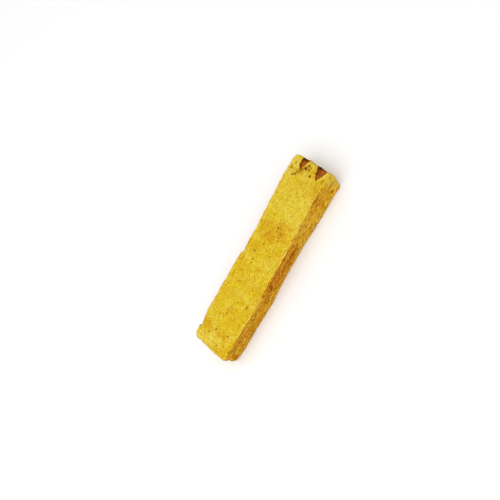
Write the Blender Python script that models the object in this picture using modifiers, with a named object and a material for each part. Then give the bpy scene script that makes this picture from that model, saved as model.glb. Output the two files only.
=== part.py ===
"""A palo santo stick: a short bar of yellow incense wood, lying on one of its broad faces.

The broad faces are sawn nearly flat. The narrow faces are split along the grain, so they carry long
ridges. The ends are sawn across, a little askew and torn. Slivers have come off the upper left arris,
and two gouges slope down to the far end. It grew as one piece, so it is one solid.

X runs along the grain from the near end to the far one, Y across the broad faces and Z up. The origin
is the middle of the face that the stick rests on. All lengths are in metres.
"""

import math

import bmesh
import bpy
import numpy as np
from mathutils import Matrix, Vector, noise

MM = 0.001

# Driving dimensions
LENGTH = 100 * MM
WIDTH = 20.8 * MM
THICKNESS = 12.5 * MM

# The grid that carries the relief, as cells along, across and through the stick
CELLS = (56, 18, 13)

# How far each long edge stands out from a straight line, at places along the stick, in millimetres
LEFT_ARRIS = {
    -50: 0.4, -46: 0.6, -36: 0.6, -32: 0.5, -28: 0.3, -24: 0.6, -14: 0.5, -9: 0.3, -5: 0.3, -3.4: -0.3,
    -2: -0.6, 6: -0.5, 16: 0.1, 24: 0.3, 32: 0.6, 38: 1.0, 43: 1.0, 50: 0.6,
}
RIGHT_ARRIS = {
    -50: -0.1, -46: 0.1, -36: 0.1, -25: 0.4, -20: 0.5, -12: 0.2, -4: 0.0, 10: 0.0,
    16: -0.3, 21: -0.5, 38: -0.5, 44: -0.2, 50: 0.5,
}
RIGHT_FOOT = {
    -50: -0.9, -46: -0.2, -42: 0.1, -30: 0.3, -25: 0.5, -20: 0.7, -16: 1.0, -12: 0.6, -8: 0.2, 8: 0.2,
    14: 0.1, 18: 0.3, 22: 0.8, 30: 0.9, 36: 1.1, 42: 1.2, 46: 1.4, 50: 1.4,
}

# How far each end stands from the middle of the stick, at places across it, in millimetres
NEAR_END = {-10.4: 50.5, -6: 50.3, -4.6: 50.4, -3: 50.0, 0: 49.7, 2: 49.4, 5: 49.0, 10.4: 48.8}
FAR_END = {-10.4: 48.8, -6: 49.0, -3.3: 49.7, -1.4: 49.2, 0.6: 49.4, 2: 50.3, 6: 50.2, 10.4: 50.3}
END_UNDERCUT = 0.3 * MM  # how far each end leans in at the foot
END_RELIEF = 0.3 * MM  # torn fibre bundles
END_BUNDLE = 2.6 * MM
BUNDLE_BLUNTNESS = 2.2  # above 1 the bundles get flat tops

# Relief of the long faces. A grain ridge is much longer than it is wide.
RIDGE_LENGTH = 30 * MM
RIDGE_WIDTH = 2.6 * MM
FINER_SCALE = 2.1  # each relief carries a finer one, this many times smaller
FINER_SHARE = 0.5
RIGHT_RELIEF = 0.40 * MM
LEFT_RELIEF = 0.5 * MM
LEDGE_DEPTH = 0.9 * MM  # a long ledge where the left face split in two layers
LEDGE_SLOPE = 0.7 * MM
LEDGE_LINE = {-50: 4.0, -12: 5.5, 10: 7.5, 34: 8.2, 50: 9.5}  # its height along the stick, in millimetres
TOP_RELIEF = 0.14 * MM
TOP_WAVE = 14 * MM
GROOVE_DEPTH = 0.45 * MM  # a groove between two layers of the right face
GROOVE_HALF_WIDTH = 0.9 * MM
GROOVE_LINE = {-28: 9.0, -3: 8.2, 18: 5.6, 30: 5.2}  # its height along the stick, in millimetres
FOOT_CLEARANCE = 0.25  # the share of the height over which the split relief fades out at the foot

# Which part of the noise each relief is taken from
RIGHT_PATTERN = 21.3
LEFT_PATTERN = 5.9
TOP_PATTERN = 14.6
WAVE_PATTERN = 8.4
NEAR_PATTERN = 3.7
FAR_PATTERN = 11.2

# Worn arrises
WORN_RADIUS = 0.4 * MM
WORN_SEGMENTS = 2
SHARP_ANGLE = math.radians(50)

WOOD_COLOUR = (0.60, 0.40, 0.04, 1.0)
WOOD_ROUGHNESS = 0.8

# Flat chips: the middle of the cut, the way it faces, and its length along the stick
HALF_WIDTH = WIDTH / 2
CHIPS = {
    "long_sliver": ((9.0 * MM, HALF_WIDTH - 0.55 * MM, THICKNESS), (-0.045, 1.0, 0.40), 23 * MM),
    "short_sliver": ((-37.8 * MM, HALF_WIDTH - 0.1 * MM, THICKNESS), (-0.17, 1.0, 0.35), 9.8 * MM),
    "left_foot_sliver": ((26 * MM, HALF_WIDTH - 0.2 * MM, 0.6 * MM), (0.035, 1.0, -0.55), 28 * MM),
    "arris_nick": ((-9.0 * MM, -HALF_WIDTH + 0.1 * MM, THICKNESS - 0.1 * MM), (0.10, -0.8, 0.60), 4 * MM),
    "near_left_corner": ((-48.2 * MM, HALF_WIDTH - 0.3 * MM, THICKNESS / 2), (-0.75, 1.0, 0.10), 9 * MM),
    "near_foot_edge": ((-48.9 * MM, 3.0 * MM, 0.5 * MM), (-1.0, 0.1, -0.75), 9 * MM),
    "near_right_foot": ((-48.9 * MM, -HALF_WIDTH + 0.2 * MM, 1.0 * MM), (-1.0, -0.8, -0.35), 7 * MM),
    "far_left_corner": ((49.7 * MM, HALF_WIDTH + 0.1 * MM, THICKNESS / 2), (0.60, 1.0, 0.12), 9 * MM),
    "far_right_edge": ((48.3 * MM, -HALF_WIDTH, 5.5 * MM), (1.0, -0.65, -0.2), 9 * MM),
    "far_right_arris": ((47.0 * MM, -HALF_WIDTH + 0.1 * MM, THICKNESS - 0.5 * MM), (0.3, -0.8, 0.6), 9 * MM),
}
CHIP_WIDTH = 16 * MM
CHIP_HEIGHT = 5 * MM

# Gouges at the far end: the inner end and the mouth, half the width of each, and the depth at the mouth
GOUGES = {
    "left_gouge": ((44.8 * MM, 5.0 * MM), (50.5 * MM, 3.9 * MM), (0.7 * MM, 2.3 * MM), 1.8 * MM),
    "right_gouge": ((42.7 * MM, -5.4 * MM), (50.5 * MM, -6.2 * MM), (0.35 * MM, 4.1 * MM), 2.4 * MM),
}
GOUGE_SIDES = 6
GOUGE_REACH = 1.3  # how far past its mouth a gouge's cutter runs, as a multiple of its length


def clear_scene():
    for thing in list(bpy.data.objects):
        bpy.data.objects.remove(thing)


def new_collection(name):
    collection = bpy.data.collections.new(name)
    bpy.context.scene.collection.children.link(collection)
    return collection


def wood_material():
    material = bpy.data.materials.new("palo_santo_wood")
    material.use_nodes = True
    shader = material.node_tree.nodes["Principled BSDF"]
    shader.inputs["Base Color"].default_value = WOOD_COLOUR
    shader.inputs["Roughness"].default_value = WOOD_ROUGHNESS
    shader.inputs["Metallic"].default_value = 0.0
    return material


def blend(low, high, share):
    return low + (high - low) * share


def outline(places, position):
    """The value at a position, read from a table of a few places in millimetres."""
    return float(np.interp(position / MM, list(places), list(places.values()))) * MM


def clamp(value, low, high):
    return max(low, min(high, value))


def finer(place):
    return FINER_SHARE * noise.noise(place * FINER_SCALE)


def grain(x, across, pattern):
    """Smooth noise between about -1 and 1, drawn out along the stick."""
    place = Vector((x / RIDGE_LENGTH, across / RIDGE_WIDTH, pattern))
    return noise.noise(place) + finer(place)


def torn(y, z, pattern):
    """The torn bundles of an end: noise with blunt tops and hollows."""
    place = Vector((y / END_BUNDLE, z / END_BUNDLE, pattern))
    return clamp(noise.noise(place) * BUNDLE_BLUNTNESS, -1.0, 1.0) + finer(place)


def near_end(y, z):
    """Where the near end stands, at a place across and up it."""
    undercut = END_UNDERCUT * (1 - z / THICKNESS)
    return -outline(NEAR_END, y) + undercut + END_RELIEF * abs(torn(y, z, NEAR_PATTERN))


def far_end(y, z):
    undercut = END_UNDERCUT * (1 - z / THICKNESS)
    return outline(FAR_END, y) - undercut - END_RELIEF * abs(torn(y, z, FAR_PATTERN))


def groove(x, z):
    """The depth of the right face's groove, which runs out at both ends."""
    from_line = abs(z - outline(GROOVE_LINE, x)) / GROOVE_HALF_WIDTH
    first, *_, last = GROOVE_LINE
    share = (x / MM - first) / (last - first)
    run_out = math.sin(math.pi * clamp(share, 0.0, 1.0))
    return GROOVE_DEPTH * max(0.0, 1 - from_line) * run_out


def right_side(x, height):
    """Where the right face stands, at a place along it and at a share of its height."""
    fade = min(1.0, height / FOOT_CLEARANCE)
    z = height * THICKNESS
    relief = RIGHT_RELIEF * grain(x, z, RIGHT_PATTERN) * fade + groove(x, z)
    return -HALF_WIDTH - blend(outline(RIGHT_FOOT, x), outline(RIGHT_ARRIS, x), height) + relief


def left_side(x, height):
    """Where the left face stands. Below its ledge the face lies deeper."""
    fade = min(1.0, height / FOOT_CLEARANCE)
    z = height * THICKNESS
    relief = LEFT_RELIEF * grain(x, z, LEFT_PATTERN) * fade
    above_ledge = (z - outline(LEDGE_LINE, x)) / LEDGE_SLOPE + 0.5
    ledge = LEDGE_DEPTH * (1 - clamp(above_ledge, 0.0, 1.0))
    return HALF_WIDTH + outline(LEFT_ARRIS, x) - ledge + relief


def top_face(x, y):
    wave = noise.noise(Vector((x / TOP_WAVE, y / TOP_WAVE, WAVE_PATTERN)))
    return THICKNESS + TOP_RELIEF * (wave + FINER_SHARE * grain(x, y, TOP_PATTERN))


def shaped(place):
    """Carries a point of the plain bar to its place in the stick, between the faces on either side."""
    along = place.x / LENGTH + 0.5
    across = place.y / WIDTH + 0.5
    height = place.z / THICKNESS
    return Vector((
        blend(near_end(place.y, place.z), far_end(place.y, place.z), along),
        blend(right_side(place.x, height), left_side(place.x, height), across),
        top_face(place.x, place.y) * height,
    ))


def plain_bar():
    """A box standing on the origin's plane, cut into the grid of cells that carries the relief."""
    bar = bmesh.new()
    bmesh.ops.create_cube(bar, size=1.0)
    bmesh.ops.translate(bar, verts=bar.verts, vec=(0, 0, 0.5))
    bmesh.ops.scale(bar, verts=bar.verts, vec=(LENGTH, WIDTH, THICKNESS))
    starts = (-LENGTH / 2, -WIDTH / 2, 0.0)
    for axis, (start, size, cells) in enumerate(zip(starts, (LENGTH, WIDTH, THICKNESS), CELLS)):
        direction = Vector([float(axis == i) for i in range(3)])
        for cut in range(1, cells):
            everything = bar.verts[:] + bar.edges[:] + bar.faces[:]
            plane = direction * (start + size * cut / cells)
            bmesh.ops.bisect_plane(bar, geom=everything, plane_co=plane, plane_no=direction)
    return bar


def stick_object(collection):
    bar = plain_bar()
    for vertex in bar.verts:
        vertex.co = shaped(vertex.co)
    mesh = bpy.data.meshes.new("palo_santo_stick")
    bar.to_mesh(mesh)
    bar.free()
    mesh.materials.append(wood_material())
    stick = bpy.data.objects.new("palo_santo_stick", mesh)
    collection.objects.link(stick)
    worn = stick.modifiers.new("worn_arrises", "BEVEL")
    worn.width = WORN_RADIUS
    worn.segments = WORN_SEGMENTS
    worn.limit_method = "ANGLE"
    worn.angle_limit = SHARP_ANGLE
    return stick


def add_cutter(name, mesh_builder, collection):
    mesh = bpy.data.meshes.new(name)
    mesh_builder.to_mesh(mesh)
    mesh_builder.free()
    cutter = bpy.data.objects.new(name, mesh)
    cutter.hide_render = True
    cutter.display_type = "WIRE"
    collection.objects.link(cutter)
    return cutter


def chip_cutter(name, middle, facing, length, collection):
    """A block that stands on the cut plane and reaches outwards, with its long side along the stick."""
    block = bmesh.new()
    bmesh.ops.create_cube(block, size=1.0)
    bmesh.ops.translate(block, verts=block.verts, vec=(0, 0, 0.5))
    bmesh.ops.scale(block, verts=block.verts, vec=(length, CHIP_WIDTH, CHIP_HEIGHT))
    cutter = add_cutter(name, block, collection)
    out = Vector(facing).normalized()
    across = out.cross(Vector((1, 0, 0))).normalized()
    along = across.cross(out)
    cutter.rotation_euler = rotation_from(along, across, out)
    cutter.location = middle
    return cutter


def rotation_from(x_axis, y_axis, z_axis):
    """The Euler angles that turn an object's own axes to the three given."""
    return Matrix((x_axis, y_axis, z_axis)).transposed().to_euler()


def gouge_cutter(name, inner, mouth, half_widths, depth, collection):
    """A flattened spike lying along the top face, which opens through the far end and slopes down to it."""
    start = Vector((*inner, THICKNESS))
    run = (Vector((*mouth, THICKNESS)) - start) * GOUGE_REACH
    inner_half, mouth_half = half_widths
    outer_half = blend(inner_half, mouth_half, GOUGE_REACH)
    spike = bmesh.new()
    bmesh.ops.create_cone(
        spike,
        cap_ends=True,
        segments=GOUGE_SIDES,
        radius1=inner_half,
        radius2=outer_half,
        depth=run.length,
    )
    bmesh.ops.translate(spike, verts=spike.verts, vec=(0, 0, run.length / 2))
    bmesh.ops.scale(spike, verts=spike.verts, vec=(1, depth / mouth_half, 1))
    cutter = add_cutter(name, spike, collection)
    upwards = Vector((0, 0, 1))
    cutter.rotation_euler = rotation_from(upwards.cross(run).normalized(), upwards, run.normalized())
    cutter.location = start
    return cutter


def cut(stick, cutter):
    modifier = stick.modifiers.new(cutter.name, "BOOLEAN")
    modifier.operation = "DIFFERENCE"
    modifier.solver = "EXACT"
    modifier.object = cutter


def main():
    clear_scene()
    stick = stick_object(new_collection("palo_santo_stick"))
    cutters = new_collection("cutters")
    for name, (middle, facing, length) in CHIPS.items():
        cut(stick, chip_cutter(name, middle, facing, length, cutters))
    for name, (inner, mouth, half_widths, depth) in GOUGES.items():
        cut(stick, gouge_cutter(name, inner, mouth, half_widths, depth, cutters))


main()
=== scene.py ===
"""The looks of a palo santo stick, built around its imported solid.

The solid gives every main form. Its surface is made again at the size of the wood's fibres, and the fibres,
pores, saw marks and torn edges are worked into that. Loose splinters lie on it. All lengths here are in
millimetres, except where a comment says otherwise, and are turned into metres as they reach Blender.

X runs along the stick to its far, gouged end. Y runs across its top to its left arris, and Z up.
"""

import itertools
import math

import bpy
import numpy as np
from mathutils import Matrix, Vector


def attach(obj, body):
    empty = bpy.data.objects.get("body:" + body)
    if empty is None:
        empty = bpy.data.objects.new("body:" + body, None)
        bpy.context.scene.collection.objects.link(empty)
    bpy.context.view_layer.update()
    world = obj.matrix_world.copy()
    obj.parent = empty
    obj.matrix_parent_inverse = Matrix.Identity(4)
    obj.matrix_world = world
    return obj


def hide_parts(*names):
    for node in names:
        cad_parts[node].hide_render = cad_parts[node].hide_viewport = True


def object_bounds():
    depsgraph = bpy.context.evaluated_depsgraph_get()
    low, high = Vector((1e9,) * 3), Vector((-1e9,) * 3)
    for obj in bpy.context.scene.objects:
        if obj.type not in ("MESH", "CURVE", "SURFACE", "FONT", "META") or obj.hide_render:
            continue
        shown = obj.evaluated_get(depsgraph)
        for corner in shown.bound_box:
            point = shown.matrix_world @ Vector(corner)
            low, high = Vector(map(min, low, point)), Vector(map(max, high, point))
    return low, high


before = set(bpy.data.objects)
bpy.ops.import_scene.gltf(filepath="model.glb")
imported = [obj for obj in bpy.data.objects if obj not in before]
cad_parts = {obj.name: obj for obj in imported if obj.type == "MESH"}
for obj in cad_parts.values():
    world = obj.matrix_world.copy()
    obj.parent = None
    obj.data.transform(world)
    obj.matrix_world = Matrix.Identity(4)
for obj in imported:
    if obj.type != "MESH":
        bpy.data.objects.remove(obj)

MM = 0.001
STICK = "palo_santo_stick"
CAD_BOX = [list(corner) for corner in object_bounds()]
ACROSS = 1
UP = 2

# The stick, as its solid has it
THICKNESS = 12.5
FAR_MOUTH = 50.5

# Gouges at the far end: their two edges, as places across, at places along the stick
GOUGES = (
    (
        (44.8, 5.2, 4.7), (45.4, 5.6, 4.1), (46.4, 6.1, 3.5), (48.0, 6.2, 2.9), (49.2, 6.0, 2.4),
        (51.0, 5.4, 1.9),
    ),
    (
        (42.8, -5.1, -5.6), (43.5, -4.6, -6.0), (44.2, -4.2, -6.5), (45.2, -3.8, -7.1), (46.4, -3.5, -7.7),
        (48.7, -3.0, -8.8), (51.0, -2.6, -9.4),
    ),
)
# How deep each gouge is at its inner end and at its mouth
GOUGE_DEPTHS = ((0.55, 1.8), (0.2, 2.4))

# In a pair that step() reads, a thing starts at the first value and is whole at the second one.

# Where a gouge shows its resin, from its edges and from its floor, how ragged each of these is, the least
# width that its floor's slopes reckon with, and the share of gouge from which a place has its flecks
RESIN_OUTSIDE = (0.22, -0.12)
RESIN_FLOOR = (-0.65, -0.20)
RESIN_RAGGED = 0.45
FLOOR_RAGGED = 0.4
LEAST_WIDTH = 0.4
IN_GOUGE = 0.2
# The lip round a gouge, which gets a painted highlight: how far out it reaches, where along it starts, and
# its share on the upper edge
LIP_OUTSIDE = (0.9, 0.3)
LIP_START = (-0.5, 1.0)
UPPER_LIP = 0.3

# The chip out of the near right corner: its place, its half sizes, how deep it goes, its edge and how ragged
# that is
NICK = (-50.2, -10.6, 7.2)
NICK_SIZE = (2.4, 3.6, 1.9)
NICK_DEPTH = 1.5
NICK_EDGE = (1.0, 0.2)
NICK_RAGGED = 0.25

# The cut-off corner at the far right: where along the stick it starts at a certain height, how it leans,
# where across it ends, and how squarely it faces right
BEVEL_ALONG = (42.8, 46.6)
BEVEL_HEIGHT = 6.0
BEVEL_LEAN = 0.3
BEVEL_ACROSS = (-3.0, -5.5)
BEVEL_FACING = (0.25, 0.45)

# The mesh: the size of its faces and how often it is smoothed
VOXEL = 0.29
SMOOTHING = 2

# How squarely a place has to face along an axis to belong to a kind of face
BROAD_FACING = (0.55, 0.85)
NARROW_FACING = (0.45, 0.80)
END_FACING = (0.35, 0.65)
LIT_FACING = (0.25, 0.55)
# How much the normals round an arris differ, over how many rounds of neighbours that is seen, and how high up
# the arrises of the top face lie
ARRIS_BEND = (0.035, 0.13)
ARRIS_ROUNDS = 8
EVEN_ROUNDS = 2
TOP_ARRIS = (THICKNESS - 2.0, THICKNESS - 1.0)

# Patterns in the mesh: how long their grains are along X, Y and Z, a seed, how many layers of ever finer
# grains they have and, where a pattern comes in patches, the pair for step()
PATTERNS = {
    "fuzz": ((0.7, 0.55, 0.55), 31, 2, None),
    "felt": ((2.6, 0.8, 0.8), 41, 3, None),
    "torn": ((5.0, 1.6, 1.6), 51, 3, (0.18, 0.50)),
    "saw_wander": ((9.0, 9.0, 9.0), 61, 1, None),
    "saw_patch": ((11.0, 6.0, 6.0), 63, 1, (-0.10, 0.40)),
    "fibre": ((7.0, 0.75, 0.75), 71, 1, None),
    "resin_edge": ((0.9, 0.9, 0.9), 77, 2, None),
    "strand": ((14.0, 1.9, 1.9), 81, 3, None),
    "shred": ((3.4, 0.8, 0.8), 85, 2, None),
    "crack": ((15.0, 2.2, 2.2), 87, 1, None),
    "crack_patch": ((9.0, 4.0, 4.0), 89, 1, (0.10, 0.35)),
    "bundle": ((0.8, 0.8, 0.8), 91, 2, None),
    "nibble": ((2.2, 1.3, 1.3), 101, 2, (0.05, 0.50)),
    "resin_grain": ((1.6, 0.5, 0.5), 111, 2, None),
    "streak": ((24.0, 1.5, 1.5), 131, 3, (0.20, 0.55)),
    "left_warm": ((12.0, 4.0, 3.0), 141, 2, (-0.10, 0.50)),
    "under": ((2.6, 9.0, 9.0), 261, 1, (0.0, 0.35)),
}
CRACK_WIDTH = (0.06, 0.0)
# Saw marks: how far apart they are, how they slant across the top and how far they wander
SAW_PITCH = 1.3
SAW_SLANT = 0.36
SAW_WANDER = 0.6

# How far each pattern lifts each kind of place. The pattern named plain is 1 everywhere.
RELIEF = {
    "broad": {"fuzz": 0.05, "felt": 0.05, "torn": -0.08, "saw": 0.02},
    "side": {"fibre": 0.07, "fuzz": 0.04, "shred": 0.13, "crack": -0.20},
    "right": {"strand": 0.09},
    "left": {"strand": 0.22},
    "end": {"bundle": 0.06, "fuzz": 0.03},
    "arris": {"nibble": -0.22},
    "nick": {"plain": -NICK_DEPTH},
    "pore": {"plain": -0.14},
    "gouge": {"resin_grain": 0.16},
}
# How hollow each pattern makes each kind of place, and so how much painted shade lies there
HOLLOW_SHADES = {
    "left": {"plain": 0.45, "fibre": -0.4, "strand": -0.7},
    "right": {"plain": 0.25, "shred": -0.9},
    "broad": {"torn": 0.3, "felt": -0.3},
    "end": {"bundle": -0.5},
    "side": {"crack": 0.8},
}

# How squarely a place has to face along an axis for its pores and splinters to be those of that face
SQUARE = 0.7

# Pores: how many there are, their least and greatest half length, half width and strength, and the share of
# them that stays on the broad faces
PORE_SEED = 7
PORES = 420
PORE_LENGTHS = {"end": (0.26, 0.36), "broad": (0.4, 0.9), "narrow": (0.8, 2.6)}
PORE_WIDTHS = (0.19, 0.26)
BROAD_STRENGTHS = (0.3, 0.7)
OTHER_STRENGTHS = (0.4, 1.0)
BROAD_PORES = 0.4
# A pore's height against its width, how fast it fades and how many half sizes away it is gone
PORE_HEIGHT = 1.5
PORE_FADE = 2.0
PORE_REACH = (1.5, 2.0)
# A listed speck's half length and half width against its radius
SPECK_LONG = 1.35
SPECK_WIDE = 1.05

# Splinters: how many there are, how far along the stick they may reach, and a splinter's share of its full
# width at places along it
SPLINTER_SEED = 29
SPLINTERS = 620
SPLINTER_END = 47.4
SLIVER_PROFILE = ((0.12, 0.6), (0.35, 1.0), (0.65, 0.85), (0.88, 0.45))
# A splinter's cross section, as shares of its width and thickness
SLIVER_SECTION = ((1.0, 0.25), (0.2, 1.0), (-1.0, 0.1), (-0.3, -0.8))
# How likely a splinter is anywhere, on a narrow face and on an arris, and how much less in a gouge
LIKELY_ANYWHERE = 0.02
LIKELY_NARROW = 0.25
LIKELY_ARRIS = 1.2
GOUGE_SPARED = 0.9
# What counts as a narrow face, as an arris that isn't part of a broad face, and as a gouge
SPLINTER_NARROW = 0.6
SPLINTER_ARRIS = 0.08
SPLINTER_BROAD = 0.8
SPLINTER_GOUGE = 0.1
# How far splinters stray from the grain, and how far those on the ends stray from level
STRAY = (0.0, 0.10, 0.10)
END_STRAY = (0.0, 0.4, 0.4)
# Their lengths: on the ends, and elsewhere the usual least, what is added on average, the greatest, and the
# least near the ends
END_LENGTHS = (0.5, 1.2)
SPLINTER_LENGTH = 1.2
LENGTH_ADDED = 1.6
LONGEST = 7.0
SHORTEST = 0.5
SPLINTER_WIDTHS = (0.14, 0.34)
SPLINTER_THICK = 0.6
SPLINTER_RISES = (0.0, 0.22)

# The tree's pith, which the year rings go round, how far apart they are, how far they wander, and how much
# the stick's length counts less than its width
PITH = (0.0, -21.0, -16.0)
RING_SPACING = 1.5
RING_WANDER = 9.0
RING_STRETCH = 40.0

# The camera looks down at the stick and is rolled, so that the stick runs up to the right
LENS = 50.0
DISTANCE = 326.0
AZIMUTH = math.radians(6.0)
ELEVATION = math.radians(60.2)
ROLL = math.radians(65.8)
AIM = (-0.1, 6.75, THICKNESS)
CLIP_START = 10.0

# The lights, in metres and watts: their place, the side of their square and their power
LIGHTS = (
    ("key", (-0.30, -0.10, 0.55), 0.70, 1.85),
    ("overhead", (0.10, 0.10, 0.75), 0.60, 0.60),
)
WORLD_STRENGTH = 0.78
# The floor, which is pale and matt
FLOOR_HALF = 3000.0
FLOOR_SHADE = 0.93
FLOOR_ROUGH = 0.9

# Stains, and further down the gouges' painted shade. Each has its place along and across (or up), its half
# length, its half width and its strength.
TOP_WARM = (
    (-46.0, -0.6, 1.6, 1.2, 0.5), (-44.4, -5.8, 1.6, 1.4, 0.4), (-41.6, -2.6, 1.0, 3.6, 1.0),
    (-40.6, -4.6, 1.2, 2.2, 0.8), (-40.4, 5.2, 1.6, 3.0, 0.5), (-39.8, 7.4, 1.3, 3.4, 0.7),
    (-34.4, -8.4, 2.4, 0.9, 0.7), (-28.6, 0.2, 2.0, 2.4, 0.7), (-23.6, -6.6, 2.6, 0.8, 0.9),
    (-21.6, 4.6, 1.8, 2.2, 0.5), (-19.2, -9.0, 2.2, 1.2, 0.8), (-18.0, 8.4, 1.6, 0.9, 0.5),
    (-14.6, -9.4, 2.0, 0.7, 0.4), (-6.4, -2.6, 1.0, 2.2, 0.5), (-5.4, 8.2, 1.8, 0.9, 0.6),
    (0.8, 4.6, 0.5, 1.2, 1.0), (2.6, 4.6, 3.4, 3.6, 0.5), (3.0, 8.6, 3.0, 1.6, 0.4),
    (11.0, -5.0, 1.2, 1.8, 1.0), (11.4, 1.6, 3.8, 5.0, 0.8), (12.8, 3.6, 1.2, 1.6, 0.8),
    (13.6, -3.0, 1.6, 1.8, 1.0), (13.8, -2.6, 3.8, 4.4, 1.0), (14.6, 5.5, 2.6, 3.4, 0.7),
    (15.6, -0.4, 1.4, 1.0, 0.9), (16.8, 2.4, 1.8, 3.0, 0.5), (17.3, -6.2, 1.1, 2.2, 1.0),
    (17.4, -1.4, 1.8, 3.0, 0.7), (23.6, -9.0, 2.0, 0.8, 0.4), (27.8, 4.6, 2.2, 1.8, 0.35),
    (37.0, 1.4, 2.4, 3.0, 0.4), (39.4, -7.6, 3.2, 1.6, 0.7), (43.2, -8.4, 2.2, 1.2, 1.0),
    (43.4, -2.4, 2.2, 1.6, 0.5), (44.2, 3.6, 1.8, 1.4, 1.0), (44.2, 5.6, 1.6, 1.4, 0.7),
    (44.6, 1.6, 2.4, 2.4, 0.9), (44.8, 3.0, 1.6, 1.4, 1.0), (45.6, 0.4, 2.2, 1.6, 0.4),
    (46.6, -2.4, 2.4, 0.8, 0.6),
)
TOP_PALE = (
    (-48.2, 7.0, 1.8, 2.6, 1.0), (-46.6, 1.6, 1.2, 1.6, 0.8), (-46.0, 4.0, 3.4, 7.0, 0.9),
    (-45.0, -3.0, 2.4, 2.4, 0.7), (-36.6, 8.0, 1.6, 2.2, 0.4), (-32.0, 9.4, 3.4, 1.5, 0.5),
    (-24.0, 10.2, 3.0, 0.9, 0.5), (-21.6, -9.4, 4.6, 0.6, 0.7), (-20.6, 1.0, 2.6, 2.8, 0.35),
    (-14.8, 10.0, 4.8, 0.8, 0.6), (-12.6, -2.0, 3.0, 6.0, 0.3), (-3.0, -6.0, 5.0, 3.0, 0.3),
    (-2.6, -9.3, 1.6, 0.5, 0.4), (-1.6, 8.0, 1.2, 1.6, 0.5), (0.4, -8.2, 3.4, 0.9, 0.4),
    (6.6, -9.4, 2.6, 0.5, 0.6), (6.8, 7.4, 1.2, 1.8, 0.4), (11.4, 9.5, 2.2, 0.8, 0.9),
    (12.6, 9.8, 2.6, 0.8, 0.5), (16.6, -8.8, 2.2, 0.8, 0.9), (17.8, 9.3, 2.2, 0.9, 0.8),
    (19.2, -5.4, 0.9, 2.2, 0.8), (21.6, -9.0, 2.4, 0.6, 0.8), (22.6, -5.0, 4.0, 5.0, 0.6),
    (23.6, 9.6, 3.0, 0.9, 0.9), (25.4, 8.0, 5.0, 2.6, 0.5), (27.2, 8.7, 0.9, 1.5, 0.9),
    (27.6, -9.1, 2.8, 0.6, 1.0), (29.0, -5.0, 6.0, 5.0, 0.6), (30.0, -1.0, 10.0, 11.0, 0.4),
    (32.0, -9.2, 4.0, 0.4, 0.4), (33.4, -9.3, 2.4, 0.5, 0.9), (34.0, 8.0, 5.0, 2.4, 0.5),
    (42.4, 1.2, 3.6, 3.4, 0.5), (42.4, -4.6, 0.5, 1.6, 0.6), (43.4, 9.0, 7.0, 3.2, 0.9),
    (44.8, -7.9, 1.6, 0.4, 0.8), (45.0, 6.9, 1.7, 0.5, 1.0), (45.4, 3.0, 0.9, 0.5, 0.7),
    (48.0, 0.0, 2.2, 2.6, 0.6), (48.2, -8.8, 2.0, 1.2, 0.8),
)
TOP_DARK = (
    (-42.2, 3.4, 0.25, 1.3, 0.3), (-40.0, 1.6, 0.9, 0.7, 0.45), (-23.4, -6.8, 1.1, 0.4, 0.4),
    (0.9, 4.6, 0.35, 0.9, 0.4), (12.8, 7.7, 0.9, 0.3, 0.3), (13.6, -2.9, 0.8, 1.0, 0.3),
    (15.3, -0.6, 0.8, 0.5, 0.35), (20.0, 4.2, 0.8, 0.5, 0.25), (31.3, 2.4, 0.7, 0.5, 0.22),
    (40.5, 6.9, 0.8, 0.6, 0.8), (41.5, 5.8, 0.9, 0.6, 0.8), (42.7, 5.2, 0.6, 0.8, 0.9),
    (42.9, 4.9, 0.6, 0.5, 0.8), (43.0, 5.0, 0.2, 0.8, 0.3), (43.1, -1.6, 0.8, 0.7, 1.0),
    (43.4, 9.3, 1.1, 0.5, 0.8), (43.6, -8.9, 1.2, 0.5, 0.5), (44.1, 4.2, 1.5, 1.0, 1.0),
    (44.8, 2.9, 0.8, 0.35, 0.5), (44.9, 3.1, 1.3, 0.5, 0.6), (44.9, 3.4, 0.5, 0.4, 0.5),
    (45.0, 1.2, 0.6, 0.4, 0.6), (45.6, 2.1, 0.8, 1.1, 1.0), (45.6, 0.2, 0.8, 0.6, 1.0),
    (46.4, 8.3, 0.8, 0.4, 0.7), (46.6, 1.9, 0.5, 0.4, 0.8), (46.8, -0.2, 0.5, 0.4, 0.8),
    (47.3, 1.2, 0.3, 0.5, 0.4), (47.4, 1.3, 0.6, 0.9, 1.0),
)
SIDE_WARM = (
    (-47.4, 3.6, 2.2, 2.4, 0.8), (-40.4, 9.6, 2.0, 1.6, 0.35), (-34.0, 8.6, 4.0, 3.0, 0.35),
    (-25.6, 3.4, 1.4, 1.6, 0.5), (-18.4, 7.4, 2.2, 3.0, 0.5), (-15.6, 9.0, 3.0, 2.8, 0.45),
    (-12.2, 10.2, 2.0, 2.4, 1.0), (-11.8, 7.6, 2.6, 3.4, 1.0), (-9.6, 9.8, 2.2, 3.6, 1.0),
    (-6.6, 11.0, 2.6, 1.6, 0.8), (-4.4, 6.6, 5.6, 6.4, 0.85), (0.4, 2.6, 4.0, 1.6, 0.4),
    (3.6, 6.0, 6.6, 6.2, 0.85), (4.4, 11.6, 2.6, 0.9, 0.9), (8.8, 6.4, 4.0, 4.6, 0.8),
    (33.4, 9.6, 1.2, 1.8, 0.8), (34.6, 11.6, 1.4, 0.8, 0.7), (38.0, 6.4, 4.0, 2.4, 0.25),
)
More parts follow.
